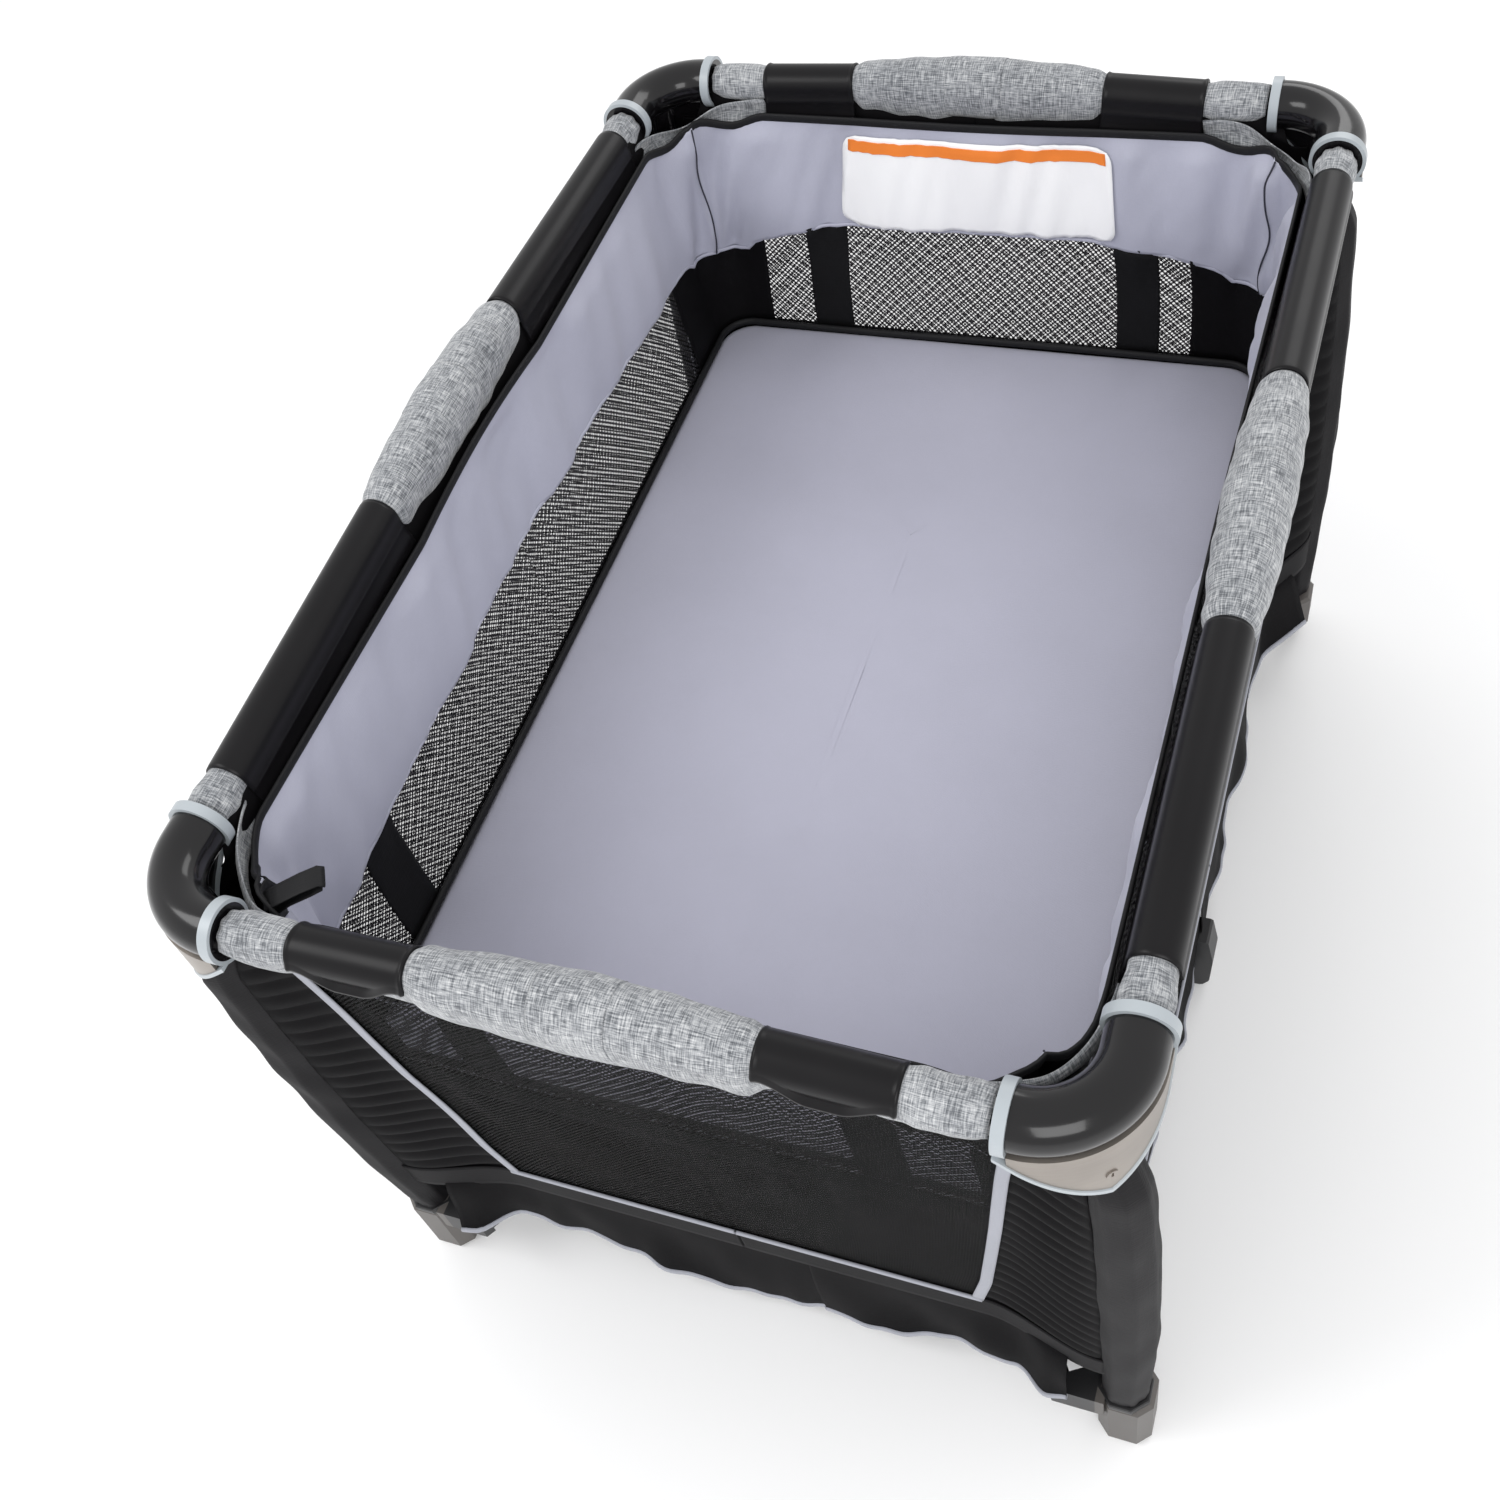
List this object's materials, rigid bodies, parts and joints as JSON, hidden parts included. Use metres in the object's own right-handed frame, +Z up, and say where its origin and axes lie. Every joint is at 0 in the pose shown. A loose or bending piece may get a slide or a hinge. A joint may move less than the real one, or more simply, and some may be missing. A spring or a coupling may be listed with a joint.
{
  "type": "travel play yard",
  "caption": "Folding travel play yard with a padded-rail frame, mesh sides, a hanging bassinet insert with mattress, floor hub, feet and braked wheels.",
  "frame": {"origin": "on the floor, below the middle of the yard", "axes": "+X across the yard to its right side, +Y along it from the front to the wheeled rear, +Z up"},
  "size_m": [0.706, 1.021, 0.6978],
  "materials": {
    "trim_plastic": "satin",
    "plate_metal": "brushed",
    "gloss_black": "glossy",
    "clip_charcoal": "satin",
    "tube_steel": "painted",
    "foot_grey": "matte",
    "button_plastic": "matte",
    "wheel_plastic": "matte",
    "heather_fabric": "woven",
    "grey_fabric": "woven",
    "mattress_fabric": "woven",
    "black_fabric": "woven"
  },
  "bodies": {
    "post_fl": {"leg_tube_fl": "tube_steel", "elbow_fl": "gloss_black", "elbow_trim_fl": "trim_plastic", "elbow_plate_fl": "plate_metal", "foot_fl": "foot_grey", "side_panel_front": "black_fabric"},
    "post_fr": {"leg_tube_fr": "tube_steel", "elbow_fr": "gloss_black", "elbow_trim_fr": "trim_plastic", "elbow_plate_fr": "plate_metal", "foot_fr": "foot_grey", "side_panel_right": "black_fabric"},
    "post_rl": {"leg_tube_rl": "tube_steel", "elbow_rl": "gloss_black", "elbow_trim_rl": "trim_plastic", "elbow_plate_rl": "plate_metal", "foot_rl": "foot_grey", "side_panel_left": "black_fabric"},
    "post_rr": {"leg_tube_rr": "tube_steel", "elbow_rr": "gloss_black", "elbow_trim_rr": "trim_plastic", "elbow_plate_rr": "plate_metal", "foot_rr": "foot_grey", "side_panel_rear": "black_fabric"},
    "strut_fl": {"floor_strut_fl": "tube_steel"},
    "strut_fr": {"floor_strut_fr": "tube_steel"},
    "strut_rl": {"floor_strut_rl": "tube_steel"},
    "strut_rr": {"floor_strut_rr": "tube_steel"},
    "hub": {"center_hub": "gloss_black", "hub_pull_strap": "black_fabric", "floor_fabric": "black_fabric"},
    "mid_strut_l": {"mid_strut_l": "foot_grey"},
    "mid_strut_r": {"mid_strut_r": "foot_grey"},
    "bassinet": {"rail_clips": "clip_charcoal", "bassinet_walls": "grey_fabric", "mattress": "mattress_fabric"},
    "rail_front_a": {"rail_tube_front_a": "tube_steel", "rail_cover_front": "heather_fabric"},
    "rail_front_b": {"rail_tube_front_b": "tube_steel"},
    "latch_front": {"latch_housing_front": "gloss_black"},
    "button_front": {"latch_button_front": "button_plastic"},
    "rail_rear_a": {"rail_tube_rear_a": "tube_steel", "rail_cover_rear": "heather_fabric"},
    "rail_rear_b": {"rail_tube_rear_b": "tube_steel"},
    "latch_rear": {"latch_housing_rear": "gloss_black"},
    "button_rear": {"latch_button_rear": "button_plastic"},
    "rail_left_a": {"rail_tube_left_a": "tube_steel", "rail_cover_left": "heather_fabric"},
    "rail_left_b": {"rail_tube_left_b": "tube_steel"},
    "latch_left": {"latch_housing_left": "gloss_black"},
    "button_left": {"latch_button_left": "button_plastic"},
    "rail_right_a": {"rail_tube_right_a": "tube_steel", "rail_cover_right": "heather_fabric"},
    "rail_right_b": {"rail_tube_right_b": "tube_steel"},
    "latch_right": {"latch_housing_right": "gloss_black"},
    "button_right": {"latch_button_right": "button_plastic"},
    "wheel_rl": {"wheel_rl": "wheel_plastic"},
    "brake_rl": {"brake_lever_rl": "foot_grey"},
    "wheel_rr": {"wheel_rr": "wheel_plastic"},
    "brake_rr": {"brake_lever_rr": "foot_grey"}
  },
  "joints": [
    {"name": "fold", "type": "hinge", "parent": "post_fl", "child": "strut_fl", "pos_m": [-0.266, -0.4425, 0.075], "axis": [0.8571, -0.5152, 0], "range_deg": [0, 78], "deforming": ["side_panel_front", "side_panel_rear", "side_panel_left", "side_panel_right", "rail_cover_front", "rail_cover_rear", "rail_cover_left", "rail_cover_right", "floor_fabric"]},
    {"name": "hub_level", "type": "hinge", "parent": "strut_fl", "child": "hub", "pos_m": [-0.04, -0.0665, 0.05815], "axis": [0.8571, -0.5152, 0], "range_deg": [-78, 0]},
    {"name": "strut_fr_hinge", "type": "hinge", "parent": "hub", "child": "strut_fr", "pos_m": [0.04, -0.0665, 0.05815], "axis": [0.8571, 0.5152, 0], "range_deg": [0, 78]},
    {"name": "post_fr_level", "type": "hinge", "parent": "strut_fr", "child": "post_fr", "pos_m": [0.266, -0.4425, 0.075], "axis": [0.8571, 0.5152, 0], "range_deg": [-78, 0]},
    {"name": "strut_rl_hinge", "type": "hinge", "parent": "hub", "child": "strut_rl", "pos_m": [-0.04, 0.0665, 0.05815], "axis": [-0.8571, -0.5152, 0], "range_deg": [0, 78]},
    {"name": "post_rl_level", "type": "hinge", "parent": "strut_rl", "child": "post_rl", "pos_m": [-0.266, 0.4425, 0.075], "axis": [-0.8571, -0.5152, 0], "range_deg": [-78, 0]},
    {"name": "strut_rr_hinge", "type": "hinge", "parent": "hub", "child": "strut_rr", "pos_m": [0.04, 0.0665, 0.05815], "axis": [-0.8571, 0.5152, 0], "range_deg": [0, 78]},
    {"name": "post_rr_level", "type": "hinge", "parent": "strut_rr", "child": "post_rr", "pos_m": [0.266, 0.4425, 0.075], "axis": [-0.8571, 0.5152, 0], "range_deg": [-78, 0]},
    {"name": "mid_strut_l_hinge", "type": "hinge", "parent": "hub", "child": "mid_strut_l", "pos_m": [-0.058, 0, 0.05815], "axis": [0, -1, 0], "range_deg": [0, 78]},
    {"name": "mid_strut_r_hinge", "type": "hinge", "parent": "hub", "child": "mid_strut_r", "pos_m": [0.058, 0, 0.05815], "axis": [0, 1, 0], "range_deg": [0, 78]},
    {"name": "bassinet_lift", "type": "slide", "parent": "hub", "child": "bassinet", "axis": [0, 0, 1], "range_m": [0, 0.72]},
    {"name": "rail_front_a_hinge", "type": "hinge", "parent": "post_fl", "child": "rail_front_a", "pos_m": [-0.246, -0.4875, 0.66], "axis": [0, 1, 0], "range_deg": [0, 78]},
    {"name": "rail_front_b_hinge", "type": "hinge", "parent": "post_fr", "child": "rail_front_b", "pos_m": [0.246, -0.4875, 0.66], "axis": [0, -1, 0], "range_deg": [0, 78]},
    {"name": "latch_front_level", "type": "hinge", "parent": "rail_front_a", "child": "latch_front", "pos_m": [-0.02, -0.4875, 0.66868], "axis": [0, 1, 0], "range_deg": [-78, 0]},
    {"name": "button_front_press", "type": "slide", "parent": "latch_front", "child": "button_front", "axis": [0, 0, 1], "range_m": [0, 0.0045], "stiffness_N_per_m": 400, "springref_m": -0.003},
    {"name": "rail_rear_a_hinge", "type": "hinge", "parent": "post_rl", "child": "rail_rear_a", "pos_m": [-0.246, 0.4875, 0.66], "axis": [0, 1, 0], "range_deg": [0, 78]},
    {"name": "rail_rear_b_hinge", "type": "hinge", "parent": "post_rr", "child": "rail_rear_b", "pos_m": [0.246, 0.4875, 0.66], "axis": [0, -1, 0], "range_deg": [0, 78]},
    {"name": "latch_rear_level", "type": "hinge", "parent": "rail_rear_a", "child": "latch_rear", "pos_m": [-0.02, 0.4875, 0.66868], "axis": [0, 1, 0], "range_deg": [-78, 0]},
    {"name": "button_rear_press", "type": "slide", "parent": "latch_rear", "child": "button_rear", "axis": [0, 0, 1], "range_m": [0, 0.0045], "stiffness_N_per_m": 400, "springref_m": -0.003},
    {"name": "rail_left_a_hinge", "type": "hinge", "parent": "post_fl", "child": "rail_left_a", "pos_m": [-0.325, -0.396, 0.66], "axis": [-1, 0, 0], "range_deg": [0, 78]},
    {"name": "rail_left_b_hinge", "type": "hinge", "parent": "post_rl", "child": "rail_left_b", "pos_m": [-0.325, 0.396, 0.66], "axis": [1, 0, 0], "range_deg": [0, 78]},
    {"name": "latch_left_level", "type": "hinge", "parent": "rail_left_a", "child": "latch_left", "pos_m": [-0.325, -0.02, 0.67444], "axis": [-1, 0, 0], "range_deg": [-78, 0]},
    {"name": "button_left_press", "type": "slide", "parent": "latch_left", "child": "button_left", "axis": [0, 0, 1], "range_m": [0, 0.0045], "stiffness_N_per_m": 400, "springref_m": -0.003},
    {"name": "rail_right_a_hinge", "type": "hinge", "parent": "post_fr", "child": "rail_right_a", "pos_m": [0.325, -0.396, 0.66], "axis": [-1, 0, 0], "range_deg": [0, 78]},
    {"name": "rail_right_b_hinge", "type": "hinge", "parent": "post_rr", "child": "rail_right_b", "pos_m": [0.325, 0.396, 0.66], "axis": [1, 0, 0], "range_deg": [0, 78]},
    {"name": "latch_right_level", "type": "hinge", "parent": "rail_right_a", "child": "latch_right", "pos_m": [0.325, -0.02, 0.67444], "axis": [-1, 0, 0], "range_deg": [-78, 0]},
    {"name": "button_right_press", "type": "slide", "parent": "latch_right", "child": "button_right", "axis": [0, 0, 1], "range_m": [0, 0.0045], "stiffness_N_per_m": 400, "springref_m": -0.003},
    {"name": "wheel_rl_spin", "type": "hinge", "parent": "post_rl", "child": "wheel_rl", "pos_m": [-0.33, 0.48, 0.028], "axis": [1, 0, 0], "continuous": true},
    {"name": "brake_rl_press", "type": "hinge", "parent": "post_rl", "child": "brake_rl", "pos_m": [-0.33, 0.472, 0.066], "axis": [-1, 0, 0], "range_deg": [0, 22]},
    {"name": "wheel_rr_spin", "type": "hinge", "parent": "post_rr", "child": "wheel_rr", "pos_m": [0.33, 0.48, 0.028], "axis": [1, 0, 0], "continuous": true},
    {"name": "brake_rr_press", "type": "hinge", "parent": "post_rr", "child": "brake_rr", "pos_m": [0.33, 0.472, 0.066], "axis": [-1, 0, 0], "range_deg": [0, 22]}
  ],
  "couplings": [
    {"joint": "hub_level", "follows": "fold", "ratio": -1},
    {"joint": "strut_fr_hinge", "follows": "fold", "ratio": 1},
    {"joint": "post_fr_level", "follows": "fold", "ratio": -1},
    {"joint": "strut_rl_hinge", "follows": "fold", "ratio": 1},
    {"joint": "post_rl_level", "follows": "fold", "ratio": -1},
    {"joint": "strut_rr_hinge", "follows": "fold", "ratio": 1},
    {"joint": "post_rr_level", "follows": "fold", "ratio": -1},
    {"joint": "mid_strut_l_hinge", "follows": "fold", "ratio": 1},
    {"joint": "mid_strut_r_hinge", "follows": "fold", "ratio": 1},
    {"joint": "bassinet_lift", "follows": "fold", "m_per_rad": 0.5},
    {"joint": "rail_front_a_hinge", "follows": "fold", "ratio": 1},
    {"joint": "rail_front_b_hinge", "follows": "fold", "ratio": 1},
    {"joint": "latch_front_level", "follows": "fold", "ratio": -1},
    {"joint": "rail_rear_a_hinge", "follows": "fold", "ratio": 1},
    {"joint": "rail_rear_b_hinge", "follows": "fold", "ratio": 1},
    {"joint": "latch_rear_level", "follows": "fold", "ratio": -1},
    {"joint": "rail_left_a_hinge", "follows": "fold", "ratio": 1},
    {"joint": "rail_left_b_hinge", "follows": "fold", "ratio": 1},
    {"joint": "latch_left_level", "follows": "fold", "ratio": -1},
    {"joint": "rail_right_a_hinge", "follows": "fold", "ratio": 1},
    {"joint": "rail_right_b_hinge", "follows": "fold", "ratio": 1},
    {"joint": "latch_right_level", "follows": "fold", "ratio": -1}
  ]
}
